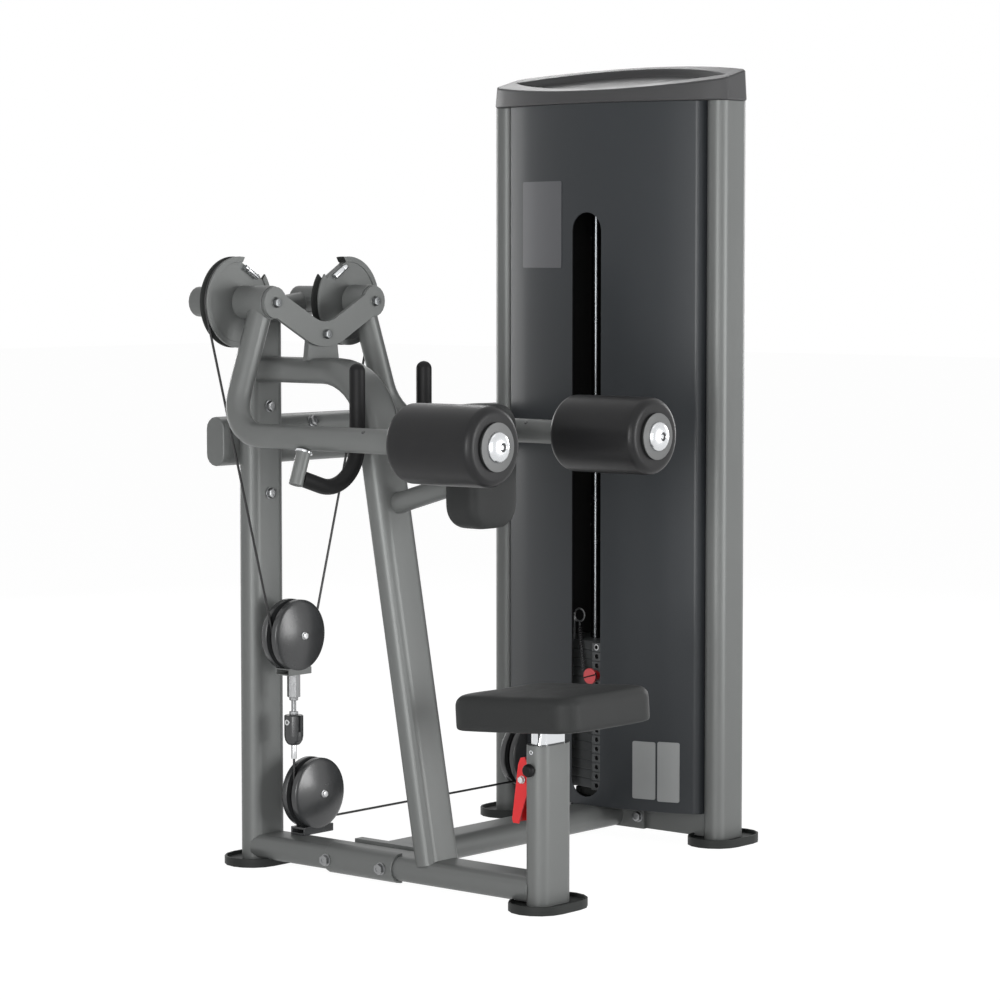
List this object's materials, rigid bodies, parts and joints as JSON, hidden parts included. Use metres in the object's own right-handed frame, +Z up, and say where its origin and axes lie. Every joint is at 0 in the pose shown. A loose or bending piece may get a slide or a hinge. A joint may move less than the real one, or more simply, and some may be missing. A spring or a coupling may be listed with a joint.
{
  "type": "selectorised lateral raise machine",
  "caption": "Seated lateral raise machine: padded arm rollers on pivoting arms lift a pin-selected weight stack in a shrouded tower through cams, cables and pulleys.",
  "frame": {"origin": "on the floor under the middle of the seat post, on the underside of the seat foot", "axes": "+Z up, +Y the way the user faces, +X from the seat towards the weight tower on the user's right"},
  "size_m": [1.2093, 0.9935, 1.6445],
  "materials": {
    "powder_coat": "satin metallic grey powder coat",
    "shroud": "fine matt dark grey coat",
    "vinyl": "matt black vinyl",
    "foam": "smooth black foam sleeve",
    "grip": "matt black rubber",
    "foot_rubber": "matt black rubber",
    "pulley_plastic": "matt dark grey nylon",
    "cap_plastic": "fine grained dark grey moulding",
    "black_plastic": "black moulding",
    "chrome": "polished chrome plate",
    "stack_iron": "black painted iron",
    "red_coat": "gloss red coat",
    "cable": "black nylon coated steel cable"
  },
  "bodies": {
    "frame": {"seat_post": "powder_coat", "main_beam": "powder_coat", "rear_post": "powder_coat", "bent_post": "powder_coat", "cross_beam": "powder_coat", "clamp_saddle": "powder_coat", "rear_brace": "powder_coat", "foot_seat": "foot_rubber", "foot_rear": "foot_rubber", "foot_tower_near": "foot_rubber", "foot_tower_far": "foot_rubber", "seat_knob": "black_plastic", "chest_pad": "vinyl", "chest_tube": "powder_coat", "pivot_plate": "powder_coat", "bearing_bracket": "powder_coat", "pulley_housing_low": "pulley_plastic", "pulley_housing_base": "pulley_plastic", "upright_near": "powder_coat", "upright_far": "powder_coat", "base_beam": "powder_coat", "top_beam": "powder_coat", "front_shroud": "shroud", "rear_shroud": "shroud", "tower_cap": "cap_plastic", "resting_plates": "stack_iron", "guide_rod_near": "chrome", "guide_rod_far": "chrome", "equaliser_cable": "cable", "lift_cable": "cable"},
    "seat": {"seat_tube": "chrome", "seat_pad": "vinyl"},
    "lever": {"seat_lever": "red_coat"},
    "stack": {"top_plate": "stack_iron", "lifted_plate_1": "stack_iron", "lifted_plate_2": "stack_iron", "lifted_plate_3": "stack_iron", "selector_stem": "stack_iron", "lanyard": "black_plastic"},
    "pin": {"selector_pin": "red_coat"},
    "carriage": {"pulley_carriage": "pulley_plastic", "carriage_adjuster": "chrome", "connector_block": "black_plastic"},
    "floating_sheave": {"sheave_floating": "pulley_plastic"},
    "low_sheave": {"sheave_low": "pulley_plastic"},
    "base_sheave": {"sheave_base": "pulley_plastic"},
    "top_far_sheave": {"sheave_top_far": "pulley_plastic"},
    "top_mid_sheave": {"sheave_top_mid": "pulley_plastic"},
    "left_arm": {"arm_left": "powder_coat", "cam_left": "powder_coat", "roller_cap_left": "chrome"},
    "left_roller": {"roller_left": "foam"},
    "left_handle": {"handle_peg_left": "powder_coat", "handle_grip_left": "grip"},
    "right_arm": {"arm_right": "powder_coat", "cam_right": "powder_coat", "roller_cap_right": "chrome"},
    "right_roller": {"roller_right": "foam"},
    "right_handle": {"handle_peg_right": "powder_coat", "handle_grip_right": "grip"}
  },
  "joints": [
    {"name": "weight_lift", "type": "slide", "parent": "frame", "child": "stack", "axis": [0, 0, 1], "range_m": [0, 0.133], "deforming": ["equaliser_cable", "lift_cable"]},
    {"name": "carriage_lift", "type": "slide", "parent": "frame", "child": "carriage", "axis": [0, 0, 1], "range_m": [0, 0.134]},
    {"name": "left_arm_raise", "type": "hinge", "parent": "frame", "child": "left_arm", "pos_m": [-0.143, 0.61, 1.146], "axis": [0, 1, 0], "range_deg": [0, 90]},
    {"name": "left_roller_spin", "type": "hinge", "parent": "left_arm", "child": "left_roller", "pos_m": [-0.2373, 0.033, 0.891], "axis": [0, 1, 0], "continuous": true},
    {"name": "left_handle_swivel", "type": "hinge", "parent": "left_arm", "child": "left_handle", "pos_m": [-0.24573, 0.4, 0.86821], "axis": [-0.3468, 0, -0.9379], "range_deg": [-20, 20]},
    {"name": "right_arm_raise", "type": "hinge", "parent": "frame", "child": "right_arm", "pos_m": [0.143, 0.61, 1.146], "axis": [0, -1, 0], "range_deg": [0, 90]},
    {"name": "right_roller_spin", "type": "hinge", "parent": "right_arm", "child": "right_roller", "pos_m": [0.2373, 0.033, 0.891], "axis": [0, 1, 0], "continuous": true},
    {"name": "right_handle_swivel", "type": "hinge", "parent": "right_arm", "child": "right_handle", "pos_m": [0.24573, 0.4, 0.86821], "axis": [0.3468, 0, -0.9379], "range_deg": [-20, 20]},
    {"name": "floating_sheave_spin", "type": "hinge", "parent": "carriage", "child": "floating_sheave", "pos_m": [0, 0.668, 0.4734], "axis": [0, 1, 0], "continuous": true},
    {"name": "low_sheave_spin", "type": "hinge", "parent": "frame", "child": "low_sheave", "pos_m": [0.0556, 0.668, 0.145], "axis": [0, 1, 0], "range_deg": [0, 138]},
    {"name": "base_sheave_spin", "type": "hinge", "parent": "frame", "child": "base_sheave", "pos_m": [0.7394, 0.668, 0.145], "axis": [0, 1, 0], "range_deg": [0, 138]},
    {"name": "top_far_sheave_spin", "type": "hinge", "parent": "frame", "child": "top_far_sheave", "pos_m": [0.795, 0.6299, 1.46], "axis": [-1, 0, 0], "range_deg": [0, 201]},
    {"name": "top_mid_sheave_spin", "type": "hinge", "parent": "frame", "child": "top_mid_sheave", "pos_m": [0.795, 0.4931, 1.46], "axis": [-1, 0, 0], "range_deg": [0, 201]},
    {"name": "seat_height", "type": "slide", "parent": "frame", "child": "seat", "axis": [0, 0, 1], "range_m": [0, 0.12]},
    {"name": "seat_lever_squeeze", "type": "hinge", "parent": "frame", "child": "lever", "pos_m": [0, 0.045, 0.245], "axis": [1, 0, 0], "range_deg": [0, 15], "stiffness_Nm_per_rad": 0.6, "springref_deg": -11.46},
    {"name": "pin_pull", "type": "slide", "parent": "stack", "child": "pin", "axis": [-1, 0, 0], "range_m": [0, 0.1], "deforming": ["lanyard"]}
  ],
  "couplings": [
    {"joint": "carriage_lift", "follows": "weight_lift", "ratio": 1},
    {"joint": "left_arm_raise", "follows": "weight_lift", "rad_per_m": 11.751},
    {"joint": "right_arm_raise", "follows": "weight_lift", "rad_per_m": 11.751},
    {"joint": "low_sheave_spin", "follows": "weight_lift", "rad_per_m": 17.986},
    {"joint": "base_sheave_spin", "follows": "weight_lift", "rad_per_m": 17.986},
    {"joint": "top_far_sheave_spin", "follows": "weight_lift", "rad_per_m": 26.247},
    {"joint": "top_mid_sheave_spin", "follows": "weight_lift", "rad_per_m": 26.247}
  ]
}
